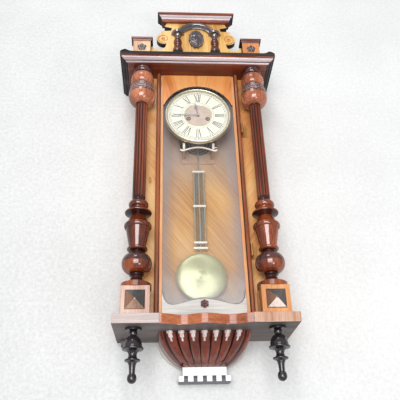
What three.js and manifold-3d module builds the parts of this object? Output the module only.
// Spring driven wall regulator in a glazed walnut case, striking on a coil gong.
// Millimetres, +Z up, the front looks along -Y. The wall is the plane Y = 0 and the
// underside of the plinth is Z = 0. A depth is a distance out from the wall.
import * as THREE from "three";
import { mergeVertices } from "three/addons/utils/BufferGeometryUtils.js";
import Module from "manifold-3d";

const wasm = await Module();
wasm.setup();

// Clearances
const seat = 0.3;
const running = 0.4;
const overrun = 2;
const weld = 1e-3;

// Plinth
const plinthWidth = 430;
const plinthDepth = 172;
const plinthThick = 23.7;
const waveHalf = 108;
const waveRecess = 2.5;
const waveDepth = 14;
const waveSteps = 32;

// Case
const boardThick = 18;
const caseHalf = 143;
const sideThick = 15;
const stileThick = 15;
const stileFront = 92;
const stileInner = 108;
const stileOuter = 176;
const sideWindowMargin = 12;
const sideWindowFoot = 80;
const sideWindowHead = 70;
const sideGlassThick = 3;
const tailHalf = 112;
const tailFootHalf = 56;
const tailBendShares = [1, 0.68];
const tailSteps = 8;

// Top board and cornice
const topBoardThick = 15;
const topBoardLip = 3;
const topBoardFrontLip = 11.5;
const corniceHeight = 29;
const corniceOut = 25;
const earWidth = 33;
const earHeight = 8;
const earDeep = 18;
const earPeakShare = 0.42;
const corniceShares = [
  [0, 0], [0.1, 0.02], [0.38, 0.16], [0.4, 0.2], [0.46, 0.22], [0.62, 0.28], [0.76, 0.38],
  [0.82, 0.46], [0.84, 0.52], [1, 0.56], [1, 1], [0, 1],
];

// Columns on their blocks
const columnX = 164;
const bulbRadius = 38.6;
const blockSide = 68;
const blockHeight = 68;
const blockPanel = 46;
const blockPanelSunk = 2.5;
const pyramidHeight = 13;
const columnBaseHeight = 246.8;
const capitalHeight = 134.4;
const shaftRadius = 17;
const fluteCount = 12;
const fluteDepth = 2;
const columnSides = 14;
const fluteEdgeShare = 0.3;
const fluteMidShare = 0.65;
const pyramidRimShare = 0.2;
const pyramidTipShare = 0.06;

// A turned member is its kind, its radius at the foot, at its widest and at its head,
// its height and its steps. An early member changes radius at its foot, a late one at
// its head.
const columnBaseShares = [
  ["straight", 0.956, 0, 0.956, 0.0498, 1], ["early", 0.93, 0, 0.36, 0.0891, 4],
  ["round", 0.36, 0.46, 0.36, 0.0243, 2], ["round", 0.36, 0.96, 0.36, 0.2107, 6],
  ["straight", 0.35, 0, 0.35, 0.0324, 1], ["round", 0.5, 0.66, 0.5, 0.0365, 2],
  ["straight", 0.53, 0, 0.78, 0.2067, 1], ["round", 0.79, 0.9, 0.79, 0.0567, 2],
  ["straight", 0.78, 0, 0.41, 0.0891, 1], ["straight", 0.41, 0, 0.86, 0.0284, 1],
  ["round", 0.86, 0.89, 0.86, 0.0162, 2], ["early", 0.86, 0, 0.52, 0.0567, 3],
  ["round", 0.52, 0.66, 0.52, 0.0648, 2], ["early", 0.52, 0, 0.44, 0.0386, 2],
];
const capitalShares = [
  ["early", 0.44, 0, 1, 0.211, 4], ["late", 1, 0, 0.72, 0.298, 4],
  ["straight", 0.64, 0, 0.64, 0.025, 1], ["round", 0.64, 0.87, 0.62, 0.29, 4],
  ["straight", 0.56, 0, 0.56, 0.019, 1], ["round", 0.6, 0.74, 0.6, 0.157, 4],
];

// Turned drop finials
const finialX = 167;
const finialRadius = 24.5;
const finialHeight = 122.5;
const finialSides = 10;
const finialShares = [
  ["round", 0, 0.433, 0.26, 0.17, 6], ["late", 0.27, 0, 0.37, 0.17, 3],
  ["late", 0.37, 0, 0.66, 0.05, 2], ["round", 0.66, 0.72, 0.66, 0.035, 2],
  ["early", 0.66, 0, 0.38, 0.075, 3], ["late", 0.38, 0, 0.9, 0.095, 3],
  ["round", 0.93, 1, 0.93, 0.04, 2], ["late", 0.86, 0, 0.28, 0.215, 5],
  ["round", 0.28, 0.4, 0.3, 0.1, 3], ["straight", 0.8, 0, 0.8, 0.05, 1],
];

// Gadrooned bowl and its foot
const bowlHalf = 112;
const bowlDepth = 110;
const bowlFootHalf = 52;
const bowlFootDepth = 36;
const bowlHeight = 69;
const bowlCorner = 16;
const bowlCurve = 1.5;
const gadroonCount = 7;
const gadroonSwell = 8;
const gadroonSteps = 4;
const bowlRows = 7;
const bowlRowShare = 1.3;
const footHalf = 53;
const footHeight = 20;
const dentilHalf = 62.7;
const dentilHeight = 14;
const dentilOut = 3;
const dentilGrooves = 5;
const grooveWidth = 9;
const grooveSunk = 5;

// Crest
const crestBoardFront = 118;
const crestBoardThick = 18;
const crestBoardHalf = 142;
const crestBoardHeight = 196;
const voluteRadius = 22.7;
const voluteInset = 40;
const voluteRise = 129;
const crestCapOut = 15.5;
const crestCapHalf = 106.5;
const crestCapHeight = 25.5;
const crestCapFront = 127;
const crestCapBack = 97;
const crestOutlineShares = [
  [1, 0], [1, 0.474], [0.965, 0.474], [0.91, 0.43], [0.845, 0.413], [0.76, 0.43], [0.69, 0.474],
  [0.768, 0.827], [0.561, 0.842], [0.542, 0.898], [0.707, 0.929], [0.662, 1],
];
const crestShoulderPoints = 7;
const voluteStart = -110;
const voluteEnd = 75;
const voluteSteps = 12;
const crestCapShares = [
  [0, 0], [0, 0.1], [0.1, 0.12], [0.14, 0.3], [0.3, 0.48], [0.58, 0.6], [0.62, 0.7], [0.92, 0.8],
  [1, 0.84], [1, 1],
];
const archRadius = 59.2;
const archWidth = 24;
const archOut = 13;
const archSteps = 12;
const archRise = 124.5;
const archShares = [
  [1, 0], [1, 0.4], [0.84, 0.46], [0.6, 0.84], [0.2, 1], [-0.2, 0.86], [-0.44, 0.5], [-0.8, 0.44],
  [-1, 0.34], [-1, 0],
];
const smallColumnHeight = 151;
const smallColumnShares = [
  ["straight", 0.85, 0, 0.85, 0.1854, 1], ["early", 0.85, 0, 0.45, 0.1656, 3],
  ["round", 0.45, 0.82, 0.45, 0.2517, 5], ["round", 0.45, 0.6, 0.4, 0.053, 2],
  ["round", 0.4, 0.65, 0.4, 0.1722, 4], ["late", 0.4, 0, 1, 0.1192, 3],
  ["straight", 1, 0, 1, 0.0529, 1],
];
const smallColumnX = 58.5;
const smallColumnRadius = 20;
const smallColumnSides = 10;
const crestBlockGap = 0.5;
const crestBlockWidth = 53;
const crestBlockFront = 136;
const crestBlockDeep = 30;
const crestBlockHeight = 98;
const crestBlockCap = 13;
const crestBlockCapOut = 6.5;
const crestRosetteRadius = 14;
const crestRosetteRise = 73;
const maskHalfWidth = 24;
const maskHalfHeight = 38;
const maskRise = 124;
const maskDeep = 17;
const maskAround = 24;
const maskRings = 7;
const maskNotchShare = 0.88;
const maskRimShare = 0.3;
const maskDomeShare = 0.5;
const maskFeatureShares = [
  [0, 0.02, 0.13, 0.26, 0.26], [0.34, 0.2, 0.2, 0.1, -0.12], [0, 0.38, 0.5, 0.08, 0.08],
  [0, -0.36, 0.28, 0.07, 0.07], [0, -0.62, 0.2, 0.12, 0.1], [0.45, -0.08, 0.2, 0.2, 0.06],
];
const rosetteShares = [[1, 0], [1, 0.35], [0.72, 0.8], [0.42, 0.45], [0.3, 0.9], [0.14, 1]];
const petalShare = 0.14;
const petalSteps = 4;
const crestRosetteDeep = 4;
const crestRosettePetals = 5;

// Door
const doorGap = 0.5;
const doorHalf = 122;
const doorThick = 17.7;
const glassHalf = 102.5;
const slipWidth = 7.5;
const slipSunk = 3;
const beadSteps = 6;
const rebate = 4;
const doorGlassThick = 3;
const doorGlassFront = 103;
const frontPanelThick = 6;
const doorRailHeight = 26;
const railCentreRise = 56;
const railLobeRise = 41;
const railCornerRise = 74;
const doorHeadHeight = 18.2;
const railLobeX = 78;
const railBendShares = [0.76, 0.36];
const arcHalf = 100;
const arcRadius = 106;
const arcEndDrop = 114;
const doorRosetteRadius = 10.5;
const doorRosetteDeep = 9;
const doorRosetteRise = 39.5;
const doorRosettePetals = 6;

// Hinges and hook
const hingePinRadius = 1.2;
const knuckleRadius = 3;
const hingeHeight = 34;
const leafThick = 1.6;
const hingeFlange = 16;
const lowerHingeRise = 178;
const upperHingeRise = 560;
const hingeSides = 10;
const hookRise = 400;
const hookLength = 13;
const hookWidth = 5;
const hookThick = 1.6;
const hookPostRadius = 2.2;
const hookPostOut = 9;
const hookX = 137;
const catchPinRadius = 1.4;
const catchPinOut = 7;
const catchPinDepth = 97;
const leafEdge = 98;

// Wall fittings
const hangerWidth = 60;
const hangerHeight = 40;
const hangerThick = 2.5;
const hangerDrop = 28;
const keyholeRadius = 7;
const keyholeSlot = 5;
const keyholeReach = 12;
const keyholeSides = 24;
const pocketSkin = 5;
const steadyX = 197;
const steadyBushDeep = 8;
const steadyBushOut = 6;
const steadyBushWidth = 13;
const steadyRadius = 2.5;
const steadyLength = 30;
const steadyKnob = 6.5;
const steadyKnobDeep = 7;
const steadySides = 12;

// Dial
const dialDrop = 139;
const bezelRadius = 100;
const bezelFront = 98;
const bezelBack = 83;
const bezelWidth = 9;
const dialFront = 91;
const dialThick = 1.6;
const dialRadius = 90.7;
const chapterInner = 42;
const chapterOuter = 88;
const chapterRaise = 1;
const bezelShares = [
  [0, 0], [0.66, 0], [1, 0.33], [1, 0.66], [0.67, 0.93], [0.33, 1], [0.06, 0.9], [-0.17, 0.62],
  [-0.17, 0.56], [0, 0.56], [0, 0],
];
const dialSides = 28;
const windingX = 28;
const windingDrop = 12.5;
const windingHole = 4.5;
const dialPostRadius = 2.2;
const dialPostX = 40;
const dialPostRise = 50;
const dialPostSides = 6;
const holeSides = 10;
const minuteHandLength = 73;
const hourHandLength = 47;
const handThick = 0.8;
const hourHandFront = 93.6;
const minuteHandFront = 95.8;
const pipeRadius = 3.4;
const minuteHandAngle = -90;
const hourHandAngle = -11;
const colletRadius = 4.4;
const colletDeep = 1;
const minuteHandShares = [
  [0.036, 0], [0.022, 0.14], [0.016, 0.34], [0.03, 0.44], [0.055, 0.5], [0.03, 0.56], [0.016, 0.66],
  [0.03, 0.76], [0.014, 0.86], [0.004, 1],
];
const hourHandShares = [
  [0.06, 0], [0.034, 0.22], [0.026, 0.4], [0.07, 0.54], [0.105, 0.64], [0.06, 0.74], [0.03, 0.8],
  [0.006, 1],
];

// Movement frame
const plateHalf = 54;
const plateTop = 74;
const plateFoot = 68;
const plateThick = 2.5;
const frontPlateFront = 77.5;
const backPlateFront = 44;
const legLength = 23;
const legX = 42.5;
const legWidth = 8;
const pillarX = 46;
const pillarTop = 59;
const pillarFoot = 59;
const pillarRadius = 3.5;
const cockHalf = 6;
const cockHeight = 8;
const cockBack = 33;
const arborRadius = 1.5;
const arborSides = 8;

// Trains
const addendumShare = 0.63;
const depthShare = 2.2;
const leafBaseShare = 0.5;
const wheelThick = 1.6;
const hubRadius = 4;
const rimShare = 3.6;
const spokeShare = 0.4;
const spokeCount = 4;
const crossingSteps = 2;
const barrelTeeth = 52;
const barrelModule = 1;
const secondLeaves = 11;
const secondTeeth = 65;
const secondModule = 0.72;
const centreLeaves = 10;
const centreTeeth = 72;
const centreModule = 2 / 3;
const thirdLeaves = 8;
const thirdTeeth = 72;
const thirdModule = 5 / 9;
const escapeLeaves = 8;
const escapeTeeth = 30;
const escapeRadius = 14;
const escapeRise = 38;
const escapeToothDeep = 3.6;
const escapeLeanShare = 0.35;
const escapeRim = 1.8;
const escapeHub = 3.2;
const palletRise = 57.6;
const drumRadius = 22;
const drumDeep = 13;
const drumSides = 20;
const timeWheelDepth = 58;
const strikeWheelDepth = 72;
const centreWheelDepth = 54;
const innerWheelDepth = 49;
const escapeWheelDepth = 65;
const pinionLength = 3.6;
const ratchetRadius = 9;
const ratchetTeeth = 16;
const ratchetRootShare = 0.82;
const windingRadius = 3;
const windingSquare = 4;

// Anchor and crutch
const palletClear = 0.35;
const palletTravel = 0.8;
const palletLength = 6;
const palletThick = 2;
const anchorWidth = 3.2;
const crutchLength = 62;
const crutchWidth = 4;
const crutchThick = 1.2;
const forkHalf = 3;
const forkRadius = 0.9;

// Pendulum
const pendulumDepth = 36;
const pendulumLength = 544;
const bobRise = 135.9;
const springWidth = 6;
const springThick = 0.6;
const springHalf = 8;
const chopWidth = 9;
const chopHeight = 7;
const chopThick = 3;
const rodRadius = 1.6;
const gridFootGap = 12;
const gridBarShares = [0.478, 0.723, 0.965];
const gridRods = 5;
const gridPitch = 7;
const gridRodRadius = 2;
const barHeight = 6;
const barThick = 7;
const barHalf = 18;
const footBarHalf = 20;
const bobRadius = 67;
const bobThick = 22;
const bobRim = 3;
const bobSides = 28;
const bobRings = 4;
const bobBore = 2;
const nutRadius = 7;
const nutHeight = 7;
const nutSides = 12;
const threadEnd = 9;

// Bracket, gong and hammer
const bracketArmHeight = 20;
const bracketArmWidth = 7;
const bracketFront = 79;
const bracketPlateThick = 4;
const bracketPlateHeight = 34;
const bracketPlateHalf = 50;
const bowSteps = 8;
const bowHalf = 54;
const bowRise = 13;
const bowThick = 5;
const bowDeep = 4;
const bowDrop = 24;
const gongDrop = 56;
const gongDepth = 27;
const gongInner = 22;
const gongOuter = 46;
const gongWire = 1.6;
const gongLoops = 3;
const gongLoopSteps = 24;
const gongWireSides = 6;
const gongTailSteps = 1;
const gongTail = 12;
const gongBlockWidth = 12;
const gongBlockHeight = 20;
const gongBlockDeep = 15;
const hammerX = 44;
const hammerDrop = 38;
const hammerHeadX = 44.6;
const hammerHeadDrop = 69.5;
const hammerHeadRadius = 5;
const hammerHeadLength = 13;
const hammerRod = 1.4;
const hammerHub = 2.5;
const hammerHubDeep = 4;

// Places worked out from the sizes
const bobZ = plinthThick + bobRise;
const pivotZ = bobZ + pendulumLength;
const dialZ = pivotZ - palletRise;
const soffit = dialZ + dialDrop;
const columnDepth = stileFront + bulbRadius + seat;
const doorBack = stileFront + seat;
const doorFront = doorBack + doorThick;
const beadRadius = (doorHalf - glassHalf - slipWidth) / 2;
const doorFoot = plinthThick + doorGap;
const doorTop = soffit - doorGap;
const hingeX = doorHalf + running + knuckleRadius - leafThick / 2;
const hingeDepth = doorFront + beadRadius + running;
const gridFootDrop = pendulumLength - bobRadius - gridFootGap - barHeight / 2;
const voluteX = crestBoardHalf - voluteInset;
const crestBlockX = crestBoardHalf + crestBlockGap + crestBlockWidth / 2;
const topBoardHalf = crestBlockX + crestBlockWidth / 2 + crestBlockCapOut + topBoardLip;
const topBoardDepth = crestBlockFront + crestBlockCapOut + topBoardFrontLip;
const crestFoot = soffit + topBoardThick;
const crestTop = crestFoot + crestBoardHeight;
const frontPlateBack = frontPlateFront - plateThick;
const backPlateBack = backPlateFront - plateThick;
const legFoot = dialZ - plateFoot - legLength;
const hangerZ = soffit - hangerDrop;

// Solids

// Welds a geometry by position, drops empty triangles and turns its faces outward.
function closed(geometry) {
  const plain = geometry.index ? geometry.toNonIndexed() : geometry.clone();
  plain.deleteAttribute("normal");
  plain.deleteAttribute("uv");
  const merged = mergeVertices(plain, weld);
  const corners = merged.index.array;
  const spots = merged.attributes.position;
  const kept = [];
  let volume = 0;
  const [a, b, c] = [new THREE.Vector3(), new THREE.Vector3(), new THREE.Vector3()];
  for (let i = 0; i < corners.length; i += 3) {
    const three = [corners[i], corners[i + 1], corners[i + 2]];
    if (new Set(three).size === 3) {
      kept.push(three);
      a.fromBufferAttribute(spots, three[0]);
      b.fromBufferAttribute(spots, three[1]);
      c.fromBufferAttribute(spots, three[2]);
      volume += a.dot(b.cross(c));
    }
  }
  merged.setIndex(kept.flatMap((three) => (volume < 0 ? three.reverse() : three)));
  return merged;
}

function manifoldOf(geometry) {
  const ready = closed(geometry);
  const vertProperties = new Float32Array(ready.attributes.position.array);
  const triVerts = new Uint32Array(ready.index.array);
  return new wasm.Manifold(new wasm.Mesh({ numProp: 3, vertProperties, triVerts }));
}

function geometryOf(manifold) {
  const mesh = manifold.getMesh();
  const geometry = new THREE.BufferGeometry();
  geometry.setAttribute("position", new THREE.BufferAttribute(new Float32Array(mesh.vertProperties), 3));
  geometry.setIndex(Array.from(mesh.triVerts));
  return geometry;
}

function join(...pieces) {
  return geometryOf(pieces.map(manifoldOf).reduce((whole, piece) => whole.add(piece)));
}

function cut(body, ...tools) {
  return geometryOf(tools.map(manifoldOf).reduce((whole, tool) => whole.subtract(tool), manifoldOf(body)));
}

// A block between two x, two depths and two heights.
function block(x0, x1, depth0, depth1, z0, z1) {
  const geometry = new THREE.BoxGeometry(Math.abs(x1 - x0), Math.abs(depth1 - depth0), Math.abs(z1 - z0));
  return geometry.translate((x0 + x1) / 2, -(depth0 + depth1) / 2, (z0 + z1) / 2);
}

function outline(points) {
  return new THREE.Shape(points.map(([x, y]) => new THREE.Vector2(x, y)));
}

// A front view outline made solid from one depth to another.
function panel(shape, depth0, depth1, curveSegments = 12) {
  const options = { depth: depth1 - depth0, bevelEnabled: false, curveSegments };
  return new THREE.ExtrudeGeometry(shape, options).rotateX(Math.PI / 2).translate(0, -depth0, 0);
}

// A plan outline made solid from one height to another.
function slab(shape, z0, z1) {
  const options = { depth: z1 - z0, bevelEnabled: false };
  return new THREE.ExtrudeGeometry(shape, options).translate(0, 0, z0);
}

// A turning about the vertical.
function turnedUp(points, sides) {
  return new THREE.LatheGeometry(points.map(([r, z]) => new THREE.Vector2(r, z)), sides).rotateX(Math.PI / 2);
}

// A turning about a line out of the wall, drawn as radius and depth.
function turnedOut(points, sides) {
  return new THREE.LatheGeometry(points.map(([r, depth]) => new THREE.Vector2(r, -depth)), sides);
}

function pin(radius, depth0, depth1, sides = arborSides) {
  return turnedOut([[0, depth0], [radius, depth0], [radius, depth1], [0, depth1]], sides);
}

function post(radius, z0, z1, sides = arborSides) {
  return turnedUp([[0, z0], [radius, z0], [radius, z1], [0, z1]], sides);
}

// Joins rings of equal count into one closed solid with flat ends.
function loft(rings, flatten) {
  const count = rings[0].length;
  const faces = [];
  for (let ring = 0; ring + 1 < rings.length; ring += 1) {
    for (let i = 0; i < count; i += 1) {
      const a = ring * count + i;
      const b = ring * count + ((i + 1) % count);
      faces.push(a, b, b + count, a, b + count, a + count);
    }
  }
  for (const [ring, flip] of [[0, true], [rings.length - 1, false]]) {
    const contour = rings[ring].map(flatten);
    const sense = Math.sign(THREE.ShapeUtils.area(contour));
    for (const [a, b, c] of THREE.ShapeUtils.triangulateShape(contour, [])) {
      const turn = Math.sign(THREE.ShapeUtils.area([contour[a], contour[b], contour[c]]));
      const face = (turn === sense) === flip ? [a, c, b] : [a, b, c];
      faces.push(...face.map((corner) => ring * count + corner));
    }
  }
  const geometry = new THREE.BufferGeometry();
  const places = rings.flat().flatMap((p) => [p.x, p.y, p.z]);
  geometry.setAttribute("position", new THREE.Float32BufferAttribute(places, 3));
  geometry.setIndex(faces);
  return geometry;
}

const seenFromFront = (p) => new THREE.Vector2(p.x, p.z);
const seenFromAbove = (p) => new THREE.Vector2(p.x, p.y);
const place = (x, depth, z) => new THREE.Vector3(x, -depth, z);

// A moulded block: its three free sides step out together and its back stays flat.
function mouldedBlock(half, front, back, z0, out, height, shares) {
  const rings = shares.map(([outShare, riseShare]) => {
    const [x, depth, z] = [half + out * outShare, front + out * outShare, z0 + height * riseShare];
    return [place(-x, back, z), place(-x, depth, z), place(x, depth, z), place(x, back, z)];
  });
  return loft(rings, seenFromAbove);
}

// A moulding run round three sides of a board, mitred at the two front corners.
function mitredMoulding(half, front, z0, out, height, shares) {
  const station = (x, depth) => shares.map(([outShare, riseShare]) => {
    const step = out * outShare;
    return place(x + Math.sign(x) * step, depth === 0 ? 0 : depth + step, z0 + height * riseShare);
  });
  const rings = [station(-half, 0), station(-half, front), station(half, front), station(half, 0)];
  return loft(rings, seenFromFront);
}

// A straight bar between two places of the front view.
function bar(x0, z0, x1, z1, width, depth0, depth1) {
  const length = Math.hypot(x1 - x0, z1 - z0);
  const geometry = new THREE.BoxGeometry(length, depth1 - depth0, width);
  geometry.rotateY(-Math.atan2(z1 - z0, x1 - x0));
  return geometry.translate((x0 + x1) / 2, -(depth0 + depth1) / 2, (z0 + z1) / 2);
}

// Profile of a turning from its members, stacked upward.
function turnedProfile(memberShares, radius, height) {
  const points = [[0, 0]];
  let foot = 0;
  for (const [kind, low, widest, high, tall, steps] of memberShares) {
    for (let i = 0; i <= steps; i += 1) {
      const t = i / steps;
      const quarter = (Math.PI * t) / 2;
      let [r, rise] = [low + (high - low) * t, t];
      if (kind === "round") {
        const edge = t < 0.5 ? low : high;
        [r, rise] = [edge + (widest - edge) * Math.sin(Math.PI * t), (1 - Math.cos(Math.PI * t)) / 2];
      } else if (kind === "early") {
        [r, rise] = [high + (low - high) * (1 - Math.sin(quarter)), 1 - Math.cos(quarter)];
      } else if (kind === "late") {
        [r, rise] = [high + (low - high) * Math.cos(quarter), Math.sin(quarter)];
      }
      points.push([radius * r, height * (foot + tall * rise)]);
    }
    foot += tall;
  }
  points.push([0, height * foot]);
  return points;
}

// Finishes
const finish = (color, roughness, metalness = 0) => new THREE.MeshStandardMaterial({ color, roughness, metalness });
const walnut = finish(0xc98a55, 0.45);
const darkWalnut = finish(0x7a4430, 0.35);
const ebonised = finish(0x2e2420, 0.4);
const paleWood = finish(0xd9b68a, 0.6);
const brass = finish(0xc9b66a, 0.3, 1);
const steel = finish(0x8a8d92, 0.4, 1);
const blued = finish(0x25304a, 0.35, 1);
const iron = finish(0x3b3c3e, 0.6, 1);
const enamel = finish(0xf2ecd2, 0.5);
const clearGlass = finish(0xe6eef0, 0.05);

const clock = new THREE.Group();

// Adds one piece, drawn about its own centre, at its place in the clock.
function add(name, geometry, material, x = 0, depth = 0, z = 0) {
  const mesh = new THREE.Mesh(closed(geometry), material);
  mesh.name = name;
  mesh.position.set(x, -depth, z);
  clock.add(mesh);
}

const sides = [["left", -1], ["right", 1]];

// Backboard: runs down behind the plinth as the tail that the bowl is fixed to.
function backboard() {
  const shape = new THREE.Shape();
  shape.moveTo(tailFootHalf, -bowlHeight);
  shape.quadraticCurveTo(tailHalf * tailBendShares[0], -bowlHeight * tailBendShares[1], tailHalf, 0);
  shape.lineTo(tailHalf, plinthThick);
  shape.lineTo(caseHalf, plinthThick);
  shape.lineTo(caseHalf, soffit);
  shape.lineTo(-caseHalf, soffit);
  shape.lineTo(-caseHalf, plinthThick);
  shape.lineTo(-tailHalf, plinthThick);
  shape.lineTo(-tailHalf, 0);
  shape.quadraticCurveTo(-tailHalf * tailBendShares[0], -bowlHeight * tailBendShares[1], -tailFootHalf, -bowlHeight);
  const [low, high] = [hangerZ - keyholeRadius * 2, hangerZ + keyholeRadius * 2];
  const pocket = block(-keyholeRadius * 2, keyholeRadius * 2, -overrun, boardThick - pocketSkin, low, high);
  const half = hangerWidth / 2 + seat;
  const [foot, head] = [hangerZ - hangerHeight / 2 - seat, hangerZ + hangerHeight / 2 + seat];
  const recess = block(-half, half, -overrun, hangerThick + seat, foot, head);
  return cut(panel(shape, 0, boardThick, tailSteps), pocket, recess);
}

// One glazed side of the case, from the backboard to the front stile.
const sideBack = boardThick;
const sideFront = stileFront - stileThick;
const windowBack = sideBack + sideWindowMargin;
const windowFront = sideFront - sideWindowMargin;
const windowFoot = plinthThick + sideWindowFoot;
const windowHead = soffit - sideWindowHead;
const sideInner = caseHalf - sideThick;

function sideFrame(sign) {
  const board = block(sign * sideInner, sign * caseHalf, sideBack, sideFront, plinthThick, soffit);
  const [x0, x1] = [sign * (sideInner - overrun), sign * (caseHalf + overrun)];
  return cut(board, block(x0, x1, windowBack, windowFront, windowFoot, windowHead));
}

function sideGlass(sign) {
  const middle = (sideInner + caseHalf) / 2;
  const [x0, x1] = [sign * (middle - sideGlassThick / 2), sign * (middle + sideGlassThick / 2)];
  return block(x0, x1, windowBack + seat, windowFront - seat, windowFoot + seat, windowHead - seat);
}

add("backboard", backboard(), paleWood);
for (const [side, sign] of sides) {
  add(`side_frame_${side}`, sideFrame(sign), walnut);
  add(`side_glass_${side}`, sideGlass(sign), clearGlass);
  const stile = block(sign * stileInner, sign * stileOuter, sideFront, stileFront, plinthThick, soffit);
  add(`front_stile_${side}`, stile, walnut);
}

// Top board and the cornice round it, with a small ear on each front corner.
add("top_board", block(-topBoardHalf, topBoardHalf, 0, topBoardDepth, soffit, soffit + topBoardThick), darkWalnut);

function cornice() {
  const moulding = mitredMoulding(topBoardHalf, topBoardDepth, soffit, corniceOut, corniceHeight, corniceShares);
  const [edge, top, front] = [topBoardHalf + corniceOut, soffit + corniceHeight, topBoardDepth + corniceOut];
  const ears = sides.map(([, sign]) => {
    const points = [[edge, top - seat], [edge, top], [edge - earWidth * earPeakShare, top + earHeight]];
    points.push([edge - earWidth, top], [edge - earWidth, top - seat]);
    return panel(outline(points.map(([x, z]) => [sign * x, z])), front - earDeep, front);
  });
  return join(moulding, ...ears);
}

add("cornice", cornice(), darkWalnut);

// Plinth: a straight board with a serpentine middle, notched behind for the tail. A
// bush under each back corner takes a steady screw.
const steadyMiddle = -steadyBushWidth / 2;

function steadyBush(sign) {
  const [x, half] = [sign * steadyX, steadyBushWidth / 2];
  const depths = [steadyBushOut, steadyBushOut + steadyBushDeep];
  const bush = block(x - half, x + half, ...depths, -steadyBushWidth, seat);
  const bore = pin(steadyRadius + running, depths[0] - overrun, depths[1] + overrun, steadySides);
  return cut(bush, bore.translate(x, 0, steadyMiddle));
}

function plinth() {
  const half = plinthWidth / 2;
  const points = [[half, 0], [half, -plinthDepth], [waveHalf, -plinthDepth]];
  for (let i = 0; i <= waveSteps; i += 1) {
    const share = 1 - (2 * i) / waveSteps;
    const scoop = (waveDepth * (1 - Math.cos(2 * Math.PI * share))) / 2;
    points.push([waveHalf * share, -(plinthDepth - waveRecess - scoop)]);
  }
  points.push([-waveHalf, -plinthDepth], [-half, -plinthDepth], [-half, 0]);
  const [notch, deep] = [tailHalf + seat, boardThick + seat];
  points.push([-notch, 0], [-notch, -deep], [notch, -deep], [notch, 0]);
  return join(slab(outline(points), 0, plinthThick), steadyBush(-1), steadyBush(1));
}

add("plinth", plinth(), darkWalnut);

// Column blocks with a sunk panel and a pyramid in it.
const blockFront = columnDepth + blockSide / 2;
const blockPanelZ = plinthThick + blockHeight / 2;

function columnBlock() {
  const half = blockPanel / 2;
  const body = block(-blockSide / 2, blockSide / 2, stileFront, blockFront, plinthThick, plinthThick + blockHeight);
  const sunk = [blockFront - blockPanelSunk, blockFront + overrun];
  const framed = cut(body, block(-half, half, ...sunk, blockPanelZ - half, blockPanelZ + half));
  const inner = half - seat;
  const ring = (share, depth) => [[-1, -1], [1, -1], [1, 1], [-1, 1]].map(
    ([a, b]) => place(a * inner * share, depth, blockPanelZ + b * inner * share),
  );
  const [rimDepth, tipDepth] = [sunk[0] + pyramidRimShare * pyramidHeight, sunk[0] + pyramidHeight];
  const pyramid = loft(
    [ring(1, sunk[0] - seat), ring(1, rimDepth), ring(pyramidTipShare, tipDepth)],
    seenFromFront,
  );
  return join(framed, pyramid);
}

for (const [side, sign] of sides) {
  add(`column_block_${side}`, columnBlock(), walnut, sign * columnX);
}

// Columns: a turned lower part, and a fluted shaft under its turned capital.
const columnFoot = plinthThick + blockHeight;
const shaftFoot = columnFoot + columnBaseHeight;
const shaftHeight = soffit - capitalHeight - shaftFoot;

function columnShaft() {
  const points = [];
  for (let i = 0; i < fluteCount; i += 1) {
    for (const [angleShare, sunk] of [[0, 0], [fluteEdgeShare, 0], [fluteMidShare, 1], [1 - fluteEdgeShare / 2, 0]]) {
      const angle = (2 * Math.PI * (i + angleShare)) / fluteCount;
      const r = shaftRadius - fluteDepth * sunk;
      points.push([r * Math.cos(angle), r * Math.sin(angle)]);
    }
  }
  const shaft = slab(outline(points), 0, shaftHeight + seat);
  const capital = turnedUp(turnedProfile(capitalShares, bulbRadius, capitalHeight), columnSides);
  return join(shaft, capital.translate(0, 0, shaftHeight));
}

for (const [side, sign] of sides) {
  const base = turnedUp(turnedProfile(columnBaseShares, bulbRadius, columnBaseHeight), columnSides);
  add(`column_base_${side}`, base, darkWalnut, sign * columnX, columnDepth, columnFoot);
  add(`column_shaft_${side}`, columnShaft(), darkWalnut, sign * columnX, columnDepth, shaftFoot);
  const drop = turnedUp(turnedProfile(finialShares, finialRadius, finialHeight), finialSides);
  add(`finial_${side}`, drop, ebonised, sign * finialX, columnDepth, -finialHeight);
}

// Bowl: a coved bracket whose front is carved into gadroons.
function bowl() {
  const rings = [];
  for (let row = 0; row <= bowlRows; row += 1) {
    const down = 1 - (1 - row / bowlRows) ** bowlRowShare;
    const round = (1 - down ** bowlCurve) ** (1 / bowlCurve);
    const half = bowlFootHalf + (bowlHalf - bowlFootHalf) * round;
    const depth = bowlFootDepth + (bowlDepth - bowlFootDepth) * round;
    const scale = half / bowlHalf;
    const [corner, swell] = [bowlCorner * scale, gadroonSwell * scale];
    const [flat, base, z] = [half - corner, depth - swell, -bowlHeight * down];
    const side = [[half, boardThick + seat], [half, (base - corner + boardThick) / 2], [half, base - corner]];
    const front = [];
    for (let i = 0; i <= gadroonCount * gadroonSteps; i += 1) {
      const share = i / (gadroonCount * gadroonSteps);
      const bulge = Math.abs(Math.sin(Math.PI * share * gadroonCount));
      front.push([flat * (1 - 2 * share), base + swell * bulge]);
    }
    const opposite = side.map(([x, y]) => [-x, y]).reverse();
    rings.push([...side, ...front, ...opposite].map(([x, y]) => place(x, y, z)));
  }
  return loft(rings, seenFromAbove);
}

add("bowl", bowl(), darkWalnut);

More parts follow.
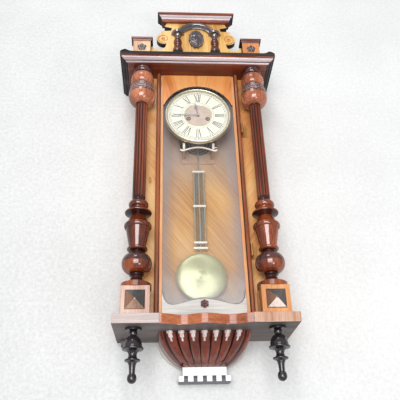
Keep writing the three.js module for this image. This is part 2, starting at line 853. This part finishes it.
// Foot under the bowl: a plain block on a wider one with cut teeth.
function bracketFoot() {
  const [top, low] = [-bowlHeight, -bowlHeight - footHeight];
  const upper = block(-footHalf, footHalf, 0, bowlFootDepth, low - seat, top);
  const front = bowlFootDepth + dentilOut;
  const pitch = (2 * dentilHalf - dentilGrooves * grooveWidth) / (dentilGrooves + 1) + grooveWidth;
  const points = [[dentilHalf, 0], [dentilHalf, -front]];
  for (let i = dentilGrooves; i >= 1; i -= 1) {
    const left = -dentilHalf + i * pitch - grooveWidth;
    const right = left + grooveWidth;
    points.push([right, -front], [right, grooveSunk - front], [left, grooveSunk - front], [left, -front]);
  }
  points.push([-dentilHalf, -front], [-dentilHalf, 0]);
  return join(upper, slab(outline(points), low - dentilHeight, low));
}

add("bracket_foot", bracketFoot(), ebonised);

// Crest: a sawn board, its moulded cap, an arcade, a mask and two side blocks.
function crestBoard() {
  const place2 = ([share, rise]) => [crestBoardHalf * share, crestFoot + crestBoardHeight * rise];
  const right = crestOutlineShares.slice(0, crestShoulderPoints).map(place2);
  for (let i = 0; i <= voluteSteps; i += 1) {
    const angle = THREE.MathUtils.degToRad(voluteStart + ((voluteEnd - voluteStart) * i) / voluteSteps);
    right.push([voluteX + voluteRadius * Math.cos(angle), crestFoot + voluteRise + voluteRadius * Math.sin(angle)]);
  }
  right.push(...crestOutlineShares.slice(crestShoulderPoints).map(place2));
  const left = right.map(([x, z]) => [-x, z]).reverse();
  return panel(outline([...right, ...left]), crestBoardFront - crestBoardThick, crestBoardFront);
}

function crestArcade() {
  const rings = [];
  for (let i = 0; i <= archSteps; i += 1) {
    rings.push(archShares.map(([across, out]) => {
      const r = archRadius + (archWidth / 2) * across;
      const start = Math.asin((smallColumnHeight - seat - archRise) / r);
      const angle = start + ((Math.PI - 2 * start) * i) / archSteps;
      const z = crestFoot + archRise + r * Math.sin(angle);
      return place(r * Math.cos(angle), crestBoardFront + archOut * out, z);
    }));
  }
  const arch = loft(rings, (p) => new THREE.Vector2(p.x, p.y));
  const columns = sides.map(([, sign]) => {
    const profile = turnedProfile(smallColumnShares, smallColumnRadius, smallColumnHeight);
    const column = turnedUp(profile, smallColumnSides).translate(sign * smallColumnX, -crestBoardFront, crestFoot);
    const x = [sign * smallColumnX - smallColumnRadius * 2, sign * smallColumnX + smallColumnRadius * 2];
    const behind = [crestBoardFront - smallColumnRadius * 2, crestBoardFront];
    return cut(column, block(...x, ...behind, crestFoot - overrun, crestFoot + smallColumnHeight + overrun));
  });
  return join(arch, ...columns);
}

// A calm mask in low relief: a dome with nose, eyes, brow, lips, chin and cheeks.
function mask() {
  const raise = (x, z) => {
    const dome = Math.sqrt(Math.max(0, 1 - x * x - z * z));
    const features = maskFeatureShares.map(([x0, z0, wide, tall, up]) => {
      const [a, b] = [(Math.abs(x) - x0) / wide, (z - z0) / tall];
      return up * Math.exp(-a * a - b * b);
    });
    return features.reduce((sum, value) => sum + value, maskRimShare + maskDomeShare * dome);
  };
  const ring = (share, height) => {
    const points = [];
    for (let i = 0; i < maskAround; i += 1) {
      const angle = (2 * Math.PI * i) / maskAround;
      const edge = share * (i % 2 === 0 ? 1 : maskNotchShare + (1 - maskNotchShare) * (1 - share));
      const [x, z] = [edge * Math.cos(angle), edge * Math.sin(angle)];
      const out = maskDeep * (height ?? raise(x, z));
      points.push(place(maskHalfWidth * x, out, maskHalfHeight * z));
    }
    return points;
  };
  const rings = [ring(1, 0)];
  for (let i = maskRings; i >= 1; i -= 1) {
    rings.push(ring(i / maskRings));
  }
  return loft(rings, seenFromFront);
}

function rosette(petals, radius, deep) {
  const rings = rosetteShares.map(([share, out]) => {
    const points = [];
    for (let i = 0; i < petals * petalSteps; i += 1) {
      const turn = i / (petals * petalSteps);
      const lobe = 1 - petalShare + petalShare * Math.cos(2 * Math.PI * turn * petals);
      const angle = 2 * Math.PI * turn + Math.PI / 2;
      points.push(place(radius * share * lobe * Math.cos(angle), deep * out, radius * share * lobe * Math.sin(angle)));
    }
    return points;
  });
  return loft(rings, seenFromFront);
}

function crestBlock(sign) {
  const [x, half] = [sign * crestBlockX, crestBlockWidth / 2];
  const back = crestBlockFront - crestBlockDeep;
  const top = crestFoot + crestBlockHeight;
  const body = block(x - half, x + half, back, crestBlockFront, crestFoot, top + seat);
  const wide = half + crestBlockCapOut;
  const cap = block(x - wide, x + wide, back, crestBlockFront + crestBlockCapOut, top, top + crestBlockCap);
  const flower = rosette(crestRosettePetals, crestRosetteRadius, crestRosetteDeep + seat);
  return join(body, cap, flower.translate(x, seat - crestBlockFront, crestFoot + crestRosetteRise));
}

const crestCap = [crestCapHalf, crestCapFront, crestCapBack, crestTop, crestCapOut, crestCapHeight];
add("crest_board", crestBoard(), paleWood);
add("crest_cornice", mouldedBlock(...crestCap, crestCapShares), darkWalnut);
add("crest_arcade", crestArcade(), darkWalnut);
add("crest_mask", mask(), ebonised, 0, crestBoardFront, crestFoot + maskRise);
for (const [side, sign] of sides) {
  add(`crest_block_${side}`, crestBlock(sign), walnut);
}

// Door: two stiles, an arched head, a shaped bottom rail and the pane behind them.
function doorStile(sign) {
  const slipEdge = glassHalf + slipWidth;
  const points = [[glassHalf + rebate, -doorBack], [doorHalf, -doorBack]];
  for (let i = 0; i <= beadSteps; i += 1) {
    const angle = (Math.PI * i) / beadSteps;
    points.push([slipEdge + beadRadius * (1 + Math.cos(angle)), -doorFront - beadRadius * Math.sin(angle)]);
  }
  points.push([slipEdge, slipSunk - doorFront], [glassHalf, slipSunk - doorFront]);
  points.push([glassHalf, -doorGlassFront], [glassHalf + rebate, -doorGlassFront]);
  return slab(outline(points.map(([x, y]) => [sign * x, y])), doorFoot, doorTop);
}

const panelFront = doorGlassFront + frontPanelThick;
const arcEnd = soffit - arcEndDrop;
const arcAngle = Math.acos(arcHalf / arcRadius);

function doorSpandrel() {
  const shape = new THREE.Shape();
  shape.moveTo(-glassHalf, doorTop);
  shape.lineTo(-glassHalf, arcEnd);
  shape.lineTo(-arcHalf, arcEnd);
  shape.absarc(0, arcEnd - arcRadius * Math.sin(arcAngle), arcRadius, Math.PI - arcAngle, arcAngle, true);
  shape.lineTo(glassHalf, arcEnd);
  shape.lineTo(glassHalf, doorTop);
  const head = block(-glassHalf, glassHalf, doorBack, doorGlassFront + seat, doorTop - doorHeadHeight, doorTop);
  return join(panel(shape, doorGlassFront, panelFront, archSteps * 2), head);
}

function doorBottomRail() {
  const [lobe, centre] = [doorFoot + railLobeRise, doorFoot + railCentreRise];
  const corner = doorFoot + railCornerRise;
  const [outer, inner] = railBendShares.map((share) => railLobeX * share);
  const shape = new THREE.Shape();
  shape.moveTo(glassHalf, doorFoot);
  shape.lineTo(glassHalf, corner);
  shape.quadraticCurveTo(arcHalf, lobe, railLobeX, lobe);
  shape.bezierCurveTo(outer, lobe, inner, centre, 0, centre);
  shape.bezierCurveTo(-inner, centre, -outer, lobe, -railLobeX, lobe);
  shape.quadraticCurveTo(-arcHalf, lobe, -glassHalf, corner);
  shape.lineTo(-glassHalf, doorFoot);
  const rail = block(-glassHalf, glassHalf, doorBack, doorGlassFront + seat, doorFoot, doorFoot + doorRailHeight);
  const flower = rosette(doorRosettePetals, doorRosetteRadius, doorRosetteDeep + seat);
  flower.translate(0, seat - panelFront, doorFoot + doorRosetteRise);
  return join(panel(shape, doorGlassFront, panelFront, tailSteps), rail, flower);
}

const paneHalf = glassHalf + rebate - seat;
const pane = [doorGlassFront - doorGlassThick, doorGlassFront];
const paneHeights = [doorFoot + doorRailHeight + seat, doorTop - doorHeadHeight - seat];
const catchPin = new THREE.CylinderGeometry(catchPinRadius, catchPinRadius, catchPinOut + seat, arborSides);
catchPin.rotateZ(Math.PI / 2).translate(-doorHalf - (catchPinOut - seat) / 2, -catchPinDepth, plinthThick + hookRise);
add("door_stile_left", join(doorStile(-1), catchPin), walnut);
add("door_stile_right", doorStile(1), walnut);
add("door_spandrel", doorSpandrel(), walnut);
add("door_bottom_rail", doorBottomRail(), walnut);
add("door_glass", block(-paneHalf, paneHalf, ...pane, ...paneHeights), clearGlass);

// Butt hinges: the middle knuckle and the pin turn with the door.
const leafFront = hingeDepth - knuckleRadius - running;
const knuckleShare = hingeHeight / 3;

function barrelPiece(radius, bore, z0, z1) {
  const outer = post(radius, z0, z1, hingeSides).translate(hingeX, -hingeDepth, 0);
  if (bore === 0) {
    return outer;
  }
  return cut(outer, post(bore, z0 - overrun, z1 + overrun, hingeSides).translate(hingeX, -hingeDepth, 0));
}

function caseLeaf(middle) {
  const x = [hingeX + running, hingeX + running + leafThick];
  const [foot, head] = [middle - hingeHeight / 2, middle + hingeHeight / 2];
  const leaf = block(...x, stileFront, leafFront, foot, head);
  const flange = block(x[0], x[0] + hingeFlange, stileFront, stileFront + leafThick, foot, head);
  const bore = hingePinRadius + running;
  const ends = [[foot, foot + knuckleShare], [head - knuckleShare, head]].flatMap(([z0, z1]) => {
    const knuckle = barrelPiece(knuckleRadius, bore, z0, z1);
    return [knuckle, block(hingeX + bore + seat, x[1], leafFront - seat, hingeDepth, z0, z1)];
  });
  return join(leaf, flange, ...ends);
}

function doorLeaf(middle) {
  const x = [doorHalf, doorHalf + leafThick];
  const [foot, head] = [middle - hingeHeight / 2, middle + hingeHeight / 2];
  const [low, high] = [foot + knuckleShare + running, head - knuckleShare - running];
  const leaf = block(...x, leafEdge, leafFront, foot, head);
  const web = block(...x, leafFront - seat, hingeDepth, low, high);
  return join(leaf, web, barrelPiece(knuckleRadius, 0, low, high), barrelPiece(hingePinRadius, 0, foot, head));
}

function doorHook() {
  const [back, front] = [stileFront + seat, stileFront + hookPostOut];
  const arm = block(-hookWidth / 2, hookWidth / 2, front - hookThick, front, -hookLength, 0);
  return join(arm, pin(hookPostRadius, back, front), pin(hookWidth / 2, front - hookThick, front, hingeSides));
}

for (const [level, rise] of [["lower", lowerHingeRise], ["upper", upperHingeRise]]) {
  add(`case_hinge_leaf_${level}`, caseLeaf(plinthThick + rise), brass);
  add(`door_hinge_leaf_${level}`, doorLeaf(plinthThick + rise), brass);
}
add("door_hook", doorHook(), brass, -hookX, 0, plinthThick + hookRise);

// Wall fittings: a keyhole plate let into the back, and the two steady screws.
function hangerPlate() {
  const [half, tall] = [hangerWidth / 2, hangerHeight / 2];
  const plate = block(-half, half, 0, hangerThick, hangerZ - tall, hangerZ + tall);
  const hole = pin(keyholeRadius, -overrun, hangerThick + overrun, keyholeSides).translate(0, 0, hangerZ);
  const slot = [-overrun, hangerThick + overrun, hangerZ, hangerZ + keyholeReach];
  return cut(plate, hole, block(-keyholeSlot / 2, keyholeSlot / 2, ...slot));
}

function steadyScrew() {
  const shank = pin(steadyRadius, 0, steadyLength, steadySides);
  return join(shank, pin(steadyKnob, steadyLength - steadyKnobDeep, steadyLength, steadySides));
}

add("hanger_plate", hangerPlate(), iron);
for (const [side, sign] of sides) {
  add(`steady_screw_${side}`, steadyScrew(), brass, sign * steadyX, 0, steadyMiddle);
}

// Dial with a raised chapter ring, its bezel and the two hands.
const pipeBore = arborRadius + running;
const dialBack = dialFront - dialThick;
const chapterFront = dialFront + chapterRaise;

function dial() {
  const bore = pipeRadius + running;
  const profile = [[bore, dialBack], [dialRadius, dialBack], [dialRadius, dialFront], [chapterOuter, dialFront]];
  profile.push([chapterOuter, chapterFront], [chapterInner, chapterFront], [chapterInner, dialFront]);
  profile.push([bore, dialFront], [bore, dialBack]);
  const holes = sides.map(([, sign]) => (
    pin(windingHole, dialBack - overrun, dialFront + overrun, holeSides).translate(sign * windingX, 0, -windingDrop)
  ));
  const posts = sides.flatMap(([, sign]) => [-1, 1].map((up) => (
    pin(dialPostRadius, frontPlateFront, dialBack + seat, dialPostSides)
      .translate(sign * dialPostX, 0, up * dialPostRise)
  )));
  return join(cut(turnedOut(profile, dialSides), ...holes), ...posts);
}

function bezel() {
  const profile = bezelShares.map(([across, out]) => [
    bezelRadius - bezelWidth + bezelWidth * across, bezelBack + (bezelFront - bezelBack) * out,
  ]);
  return turnedOut(profile, dialSides);
}

function hand(shares, length, angle, front) {
  const right = shares.map(([across, along]) => [length * across, length * along]);
  const left = right.map(([x, z]) => [-x, z]).reverse();
  const blade = panel(outline([...right, ...left]), front - handThick, front);
  return blade.rotateY(THREE.MathUtils.degToRad(angle));
}

function hourHand() {
  const blade = hand(hourHandShares, hourHandLength, hourHandAngle, hourHandFront);
  const pipe = join(pin(pipeRadius, frontPlateFront + running, hourHandFront, holeSides),
    pin(colletRadius, hourHandFront - handThick, hourHandFront, holeSides));
  return cut(join(blade, pipe), pin(pipeBore, frontPlateBack, minuteHandFront, holeSides));
}

function minuteHand() {
  const blade = hand(minuteHandShares, minuteHandLength, minuteHandAngle, minuteHandFront);
  const back = minuteHandFront - handThick - colletDeep;
  return join(blade, pin(pipeRadius, back, minuteHandFront + handThick, holeSides));
}

add("dial", dial(), enamel, 0, 0, dialZ);
add("bezel", bezel(), brass, 0, 0, dialZ);
add("hour_hand", hourHand(), blued, 0, 0, dialZ);
add("minute_hand", minuteHand(), blued, 0, 0, dialZ);

// Places of the arbors seen from the front, from the middle of the dial.
function meet(first, firstReach, second, secondReach) {
  const [dx, dz] = [second[0] - first[0], second[1] - first[1]];
  const apart = Math.hypot(dx, dz);
  const along = (firstReach ** 2 - secondReach ** 2 + apart ** 2) / (2 * apart);
  const across = Math.sqrt(firstReach ** 2 - along ** 2);
  return [first[0] + (dx * along + dz * across) / apart, first[1] + (dz * along - dx * across) / apart];
}

const apartOf = (module, teeth, leaves) => (module * (teeth + leaves)) / 2;
const centreAt = [0, 0];
const secondAt = [0, -apartOf(secondModule, secondTeeth, centreLeaves)];
const escapeAt = [0, escapeRise];
const palletAt = [0, palletRise];
const timeAt = [windingX, -windingDrop];
const strikeBarrelAt = [-windingX, -windingDrop];
const thirdReach = apartOf(centreModule, centreTeeth, thirdLeaves);
const thirdAt = meet(centreAt, thirdReach, escapeAt, apartOf(thirdModule, thirdTeeth, escapeLeaves));
const hammerAt = [hammerX, -hammerDrop];

// A toothed outline. The angle is where the middle of a tooth stands.
function toothed(teeth, module, angle, leafShares) {
  const pitch = (module * teeth) / 2;
  const tip = pitch + module * addendumShare;
  const root = tip - module * depthShare;
  const points = [];
  for (let i = 0; i < teeth; i += 1) {
    for (const [turn, out] of leafShares) {
      const at = angle + (2 * Math.PI * (i + turn)) / teeth;
      const r = root + (tip - root) * out;
      points.push([r * Math.cos(at), r * Math.sin(at)]);
    }
  }
  return points;
}

const wheelShares = [[0, 1], [0.5, 0]];
const pinionShares = [[-leafBaseShare / 2, 0], [0, 1], [leafBaseShare / 2, 0]];

// A wheel blank with four spokes between a rim and a hub.
function wheel(points, rimInner, hubRadius, depth0, thick) {
  const shape = outline(points);
  const spoke = hubRadius * spokeShare;
  for (let i = 0; i < spokeCount; i += 1) {
    const [from, to] = [i, i + 1].map((turn) => (2 * Math.PI * turn) / spokeCount);
    const path = [];
    for (const [r, sign] of [[rimInner, 1], [hubRadius, -1]]) {
      const half = Math.asin(spoke / r);
      for (let k = 0; k <= crossingSteps; k += 1) {
        const share = sign > 0 ? k / crossingSteps : 1 - k / crossingSteps;
        const at = from + half + (to - from - 2 * half) * share;
        path.push(new THREE.Vector2(r * Math.cos(at), r * Math.sin(at)));
      }
    }
    shape.holes.push(new THREE.Path(path));
  }
  return panel(shape, depth0, depth0 + thick);
}

function arbor(front = frontPlateBack - seat, back = backPlateFront + seat) {
  return pin(arborRadius, back, front);
}

const towards = (from, to) => Math.atan2(to[1] - from[1], to[0] - from[0]);

function pinion(leaves, module, angle, depth) {
  return panel(outline(toothed(leaves, module, angle, pinionShares)), depth, depth + pinionLength);
}

function spoked(teeth, module, angle, depth) {
  const inner = (module * teeth) / 2 - module * rimShare;
  return wheel(toothed(teeth, module, angle, wheelShares), inner, hubRadius, depth, wheelThick);
}

// A wheel shows a gap, and the pinion a leaf, on the line between their arbors.
const gapAt = (from, to, teeth) => towards(from, to) + Math.PI / teeth;
const meshDepth = (depth) => depth - (pinionLength - wheelThick) / 2;

const secondWheel = join(
  arbor(),
  pinion(secondLeaves, barrelModule, towards(secondAt, timeAt), meshDepth(timeWheelDepth)),
  spoked(secondTeeth, secondModule, gapAt(secondAt, centreAt, secondTeeth), innerWheelDepth),
);
const minuteBack = minuteHandFront - handThick - colletDeep;
const centreWheel = join(
  arbor(minuteBack),
  pinion(centreLeaves, secondModule, towards(centreAt, secondAt), meshDepth(innerWheelDepth)),
  spoked(centreTeeth, centreModule, gapAt(centreAt, thirdAt, centreTeeth), centreWheelDepth),
);
const thirdWheel = join(
  arbor(),
  pinion(thirdLeaves, centreModule, towards(thirdAt, centreAt), meshDepth(centreWheelDepth)),
  spoked(thirdTeeth, thirdModule, gapAt(thirdAt, escapeAt, thirdTeeth), innerWheelDepth),
);

function escapeWheel() {
  const points = [];
  for (let i = 0; i < escapeTeeth; i += 1) {
    for (const [turn, r] of [[0, escapeRadius], [escapeLeanShare, escapeRadius - escapeToothDeep]]) {
      const at = (2 * Math.PI * (i + turn)) / escapeTeeth;
      points.push([r * Math.cos(at), r * Math.sin(at)]);
    }
  }
  const inner = escapeRadius - escapeToothDeep - escapeRim;
  const blank = wheel(points, inner, escapeHub, escapeWheelDepth, wheelThick);
  return join(arbor(), blank, pinion(escapeLeaves, thirdModule, towards(escapeAt, thirdAt), meshDepth(innerWheelDepth)));
}

// A barrel: great wheel and drum with a bore for its winding arbor.
function barrel(angle, wheelDepth, drumBack) {
  const body = join(
    panel(outline(toothed(barrelTeeth, barrelModule, angle, wheelShares)), wheelDepth, wheelDepth + wheelThick),
    pin(drumRadius, drumBack, drumBack + drumDeep, drumSides),
  );
  return cut(body, pin(windingRadius + running, backPlateBack, dialFront, holeSides));
}

function windingArbor(drumBack) {
  const half = windingSquare / 2;
  const points = [];
  for (let i = 0; i < ratchetTeeth; i += 1) {
    for (const [turn, r] of [[0, ratchetRadius], [0, ratchetRadius * ratchetRootShare]]) {
      const at = (2 * Math.PI * (i + turn)) / ratchetTeeth;
      points.push([r * Math.cos(at), r * Math.sin(at)]);
    }
  }
  const back = drumBack - seat - wheelThick;
  return join(
    pin(windingRadius, backPlateFront + seat, frontPlateFront + running, holeSides),
    block(-half, half, frontPlateFront, dialFront, -half, half),
    panel(outline(points), back, back + wheelThick),
  );
}

// Pallet arbor with the anchor between the plates and the crutch behind them.
function crutch() {
  const reach = escapeRadius + palletClear + palletTravel;
  const down = palletRise - escapeRise;
  const diagonal = Math.SQRT1_2;
  const depths = [escapeWheelDepth - seat, escapeWheelDepth - seat + palletThick];
  const pallets = sides.flatMap(([, sign]) => {
    const tip = [sign * reach * diagonal, reach * diagonal - down];
    const elbow = [tip[0] + sign * palletLength * diagonal, tip[1] + palletLength * diagonal];
    return [bar(0, 0, ...elbow, anchorWidth, ...depths), bar(...elbow, ...tip, anchorWidth, ...depths)];
  });
  const back = pendulumDepth + chopThick / 2 + running;
  const front = back + crutchThick;
  const arm = bar(0, 0, 0, -crutchLength, crutchWidth, back, front);
  const fork = sides.map(([, sign]) => (
    pin(forkRadius, pendulumDepth - chopThick, back + seat).translate(sign * forkHalf, 0, -crutchLength)
  ));
  const foot = bar(-forkHalf - forkRadius, -crutchLength, forkHalf + forkRadius, -crutchLength, crutchWidth, back, front);
  return join(arbor(frontPlateBack - seat, back), ...pallets, arm, foot, ...fork);
}

// Frame of the movement.
function plateShape() {
  const [top, foot] = [plateTop, -plateFoot];
  const points = [[plateHalf, top], [-plateHalf, top], [-plateHalf, foot]];
  for (const sign of [-1, 1]) {
    const legs = [sign * legX - legWidth / 2, sign * legX + legWidth / 2];
    points.push([legs[0], foot], [legs[0], foot - legLength], [legs[1], foot - legLength], [legs[1], foot]);
  }
  points.push([plateHalf, foot]);
  return outline(points);
}

function hole(radius, at, depth0, depth1) {
  return pin(radius, depth0 - overrun, depth1 + overrun, holeSides).translate(at[0], 0, at[1]);
}

const frontDepths = [frontPlateBack, frontPlateFront];
const frontPlate = cut(
  panel(plateShape(), ...frontDepths),
  hole(pipeBore, centreAt, ...frontDepths),
  hole(windingRadius + running * 2, timeAt, ...frontDepths),
  hole(windingRadius + running * 2, strikeBarrelAt, ...frontDepths),
);

function backPlate() {
  const depths = [backPlateBack, backPlateFront];
  const bored = cut(
    panel(plateShape(), ...depths),
    hole(pipeBore, palletAt, ...depths),
    hole(pipeBore, hammerAt, ...depths),
  );
  const pillars = sides.flatMap(([, sign]) => [pillarTop, -pillarFoot].map((z) => (
    pin(pillarRadius, backPlateFront - seat, frontPlateBack).translate(sign * pillarX, 0, z)
  )));
  const cockFoot = palletRise + springHalf + seat;
  const cock = block(-cockHalf, cockHalf, cockBack, backPlateBack + seat, cockFoot, cockFoot + cockHeight);
  return join(bored, ...pillars, cock);
}

function hammer() {
  const [x, z] = [hammerHeadX + hammerHeadLength / 2 - hammerX, hammerDrop - hammerHeadDrop];
  const head = new THREE.CylinderGeometry(hammerHeadRadius, hammerHeadRadius, hammerHeadLength, holeSides);
  head.rotateZ(Math.PI / 2).translate(x, -gongDepth, z);
  const rod = bar(0, 0, x, z, hammerRod * 2, gongDepth - hammerRod, gongDepth + hammerRod);
  const hub = pin(hammerHub, gongDepth - hammerHubDeep / 2, gongDepth + hammerHubDeep / 2);
  return join(arbor(frontPlateBack - seat, gongDepth), hub, rod, head);
}

const timeDrumBack = timeWheelDepth + wheelThick - seat;
const strikeDrumBack = strikeWheelDepth - drumDeep + seat;
const movement = [
  ["front_plate", frontPlate, brass, centreAt],
  ["back_plate", backPlate(), brass, centreAt],
  ["second_wheel", secondWheel, brass, secondAt],
  ["centre_wheel", centreWheel, brass, centreAt],
  ["third_wheel", thirdWheel, brass, thirdAt],
  ["escape_wheel", escapeWheel(), brass, escapeAt],
  ["crutch", crutch(), steel, palletAt],
  ["time_barrel", barrel(gapAt(timeAt, secondAt, barrelTeeth), timeWheelDepth, timeDrumBack), brass, timeAt],
  ["time_winding_arbor", windingArbor(timeWheelDepth), steel, timeAt],
  ["strike_barrel", barrel(0, strikeWheelDepth, strikeDrumBack), brass, strikeBarrelAt],
  ["strike_winding_arbor", windingArbor(strikeDrumBack), steel, strikeBarrelAt],
  ["strike_hammer", hammer(), steel, hammerAt],
];
for (const [name, geometry, material, [x, z]] of movement) {
  add(name, geometry, material, x, 0, dialZ + z);
}

// Pendulum: spring, gridiron and rod in one, then the bob and its rating nut.
function pendulumRod() {
  const chopTop = -springHalf + seat;
  const chopFoot = -springHalf - chopHeight;
  const depths = [-barThick / 2, barThick / 2];
  const rodFoot = bobZ - bobRadius - threadEnd - pivotZ;
  const pieces = [
    block(-springWidth / 2, springWidth / 2, -springThick / 2, springThick / 2, -springHalf, springHalf),
    block(-chopWidth / 2, chopWidth / 2, -chopThick / 2, chopThick / 2, chopFoot, chopTop),
    post(rodRadius, rodFoot, chopFoot + seat),
  ];
  const drops = gridBarShares.map((share) => [gridFootDrop * share, barHalf]);
  for (const [drop, half] of [...drops, [gridFootDrop, footBarHalf]]) {
    pieces.push(block(-half, half, ...depths, -drop - barHeight / 2, -drop + barHeight / 2));
  }
  for (let i = 0; i < gridRods; i += 1) {
    const x = (i - (gridRods - 1) / 2) * gridPitch;
    pieces.push(post(gridRodRadius, -gridFootDrop, -drops[0][0], dialPostSides).translate(x, 0, 0));
  }
  return join(...pieces);
}

function pendulumBob() {
  const profile = [[0, -bobThick / 2]];
  for (let i = 1; i <= bobRings; i += 1) {
    const share = i / bobRings;
    const out = bobRim / 2 + ((bobThick - bobRim) / 2) * Math.sqrt(1 - share * share);
    profile.push([bobRadius * share, -out]);
  }
  profile.push(...profile.map(([r, depth]) => [r, -depth]).reverse());
  const lens = turnedOut(profile, bobSides);
  return cut(lens, post(bobBore, -bobRadius - overrun, bobRadius + overrun));
}

function ratingNut() {
  const body = post(nutRadius, -nutHeight, 0, nutSides);
  return cut(body, post(bobBore, -nutHeight - overrun, overrun));
}

add("pendulum_rod", pendulumRod(), brass, 0, pendulumDepth, pivotZ);
add("pendulum_bob", pendulumBob(), brass, 0, pendulumDepth, bobZ);
add("rating_nut", ratingNut(), brass, 0, pendulumDepth, bobZ - bobRadius - seat);

// Bracket that carries the movement, with a bowed bar across its front.
function movementBracket() {
  const [top, foot] = [legFoot, legFoot - bracketArmHeight];
  const back = block(-bracketPlateHalf, bracketPlateHalf, boardThick, boardThick + bracketPlateThick,
    legFoot - bracketPlateHeight, legFoot);
  const arms = sides.map(([, sign]) => {
    const x = [sign * legX - bracketArmWidth / 2, sign * legX + bracketArmWidth / 2];
    return block(...x, boardThick, bracketFront, foot, top);
  });
  const bow = [];
  for (let i = 0; i <= bowSteps; i += 1) {
    const share = (2 * i) / bowSteps - 1;
    bow.push([bowHalf * share, legFoot - bowDrop + bowRise * (1 - share * share)]);
  }
  const under = bow.map(([x, z]) => [x, z - bowThick]).reverse();
  return join(back, ...arms, panel(outline([...bow, ...under]), bracketFront - bowDeep, bracketFront));
}

// Coil gong: one flat spiral of wire held by a block on the backboard.
class Coil extends THREE.Curve {
  getPoint(t, target = new THREE.Vector3()) {
    const wound = 2 * Math.PI * gongLoops * ((gongOuter + gongInner) / 2);
    const done = (t * (wound + gongTail)) / wound;
    const share = Math.min(done, 1);
    const angle = Math.PI - 2 * Math.PI * gongLoops * (1 - share);
    const r = gongInner + (gongOuter - gongInner) * share;
    const straight = Math.max(done - 1, 0) * wound;
    return target.set(r * Math.cos(angle), 0, r * Math.sin(angle) - straight);
  }
}

const gongZ = dialZ - gongDrop;

function gongWireSolid() {
  const coil = new Coil();
  const rings = [];
  const steps = gongLoops * gongLoopSteps + gongTailSteps;
  for (let i = 0; i <= steps; i += 1) {
    const [at, along] = [coil.getPoint(i / steps), coil.getTangent(i / steps)];
    const across = new THREE.Vector3(-along.z, 0, along.x);
    rings.push(Array.from({ length: gongWireSides }, (_, k) => {
      const turn = (2 * Math.PI * k) / gongWireSides;
      return at.clone().addScaledVector(across, gongWire * Math.cos(turn))
        .add(new THREE.Vector3(0, gongWire * Math.sin(turn), 0));
    }));
  }
  return loft(rings, (p) => new THREE.Vector2(Math.hypot(p.x, p.z), p.y));
}

function gong() {
  const half = gongBlockWidth / 2;
  const top = -gongTail / 2;
  const body = block(-gongOuter - half, half - gongOuter, boardThick - gongDepth, boardThick + gongBlockDeep - gongDepth,
    top - gongBlockHeight, top);
  return join(gongWireSolid(), body);
}

const loopGap = (gongOuter - gongInner) / gongLoops - 2 * gongWire;
console.log(`gong: one tube, least gap between its loops ${loopGap.toFixed(2)} mm`);

add("movement_bracket", movementBracket(), brass);
add("gong", gong(), steel, 0, gongDepth, gongZ);

export default clock;
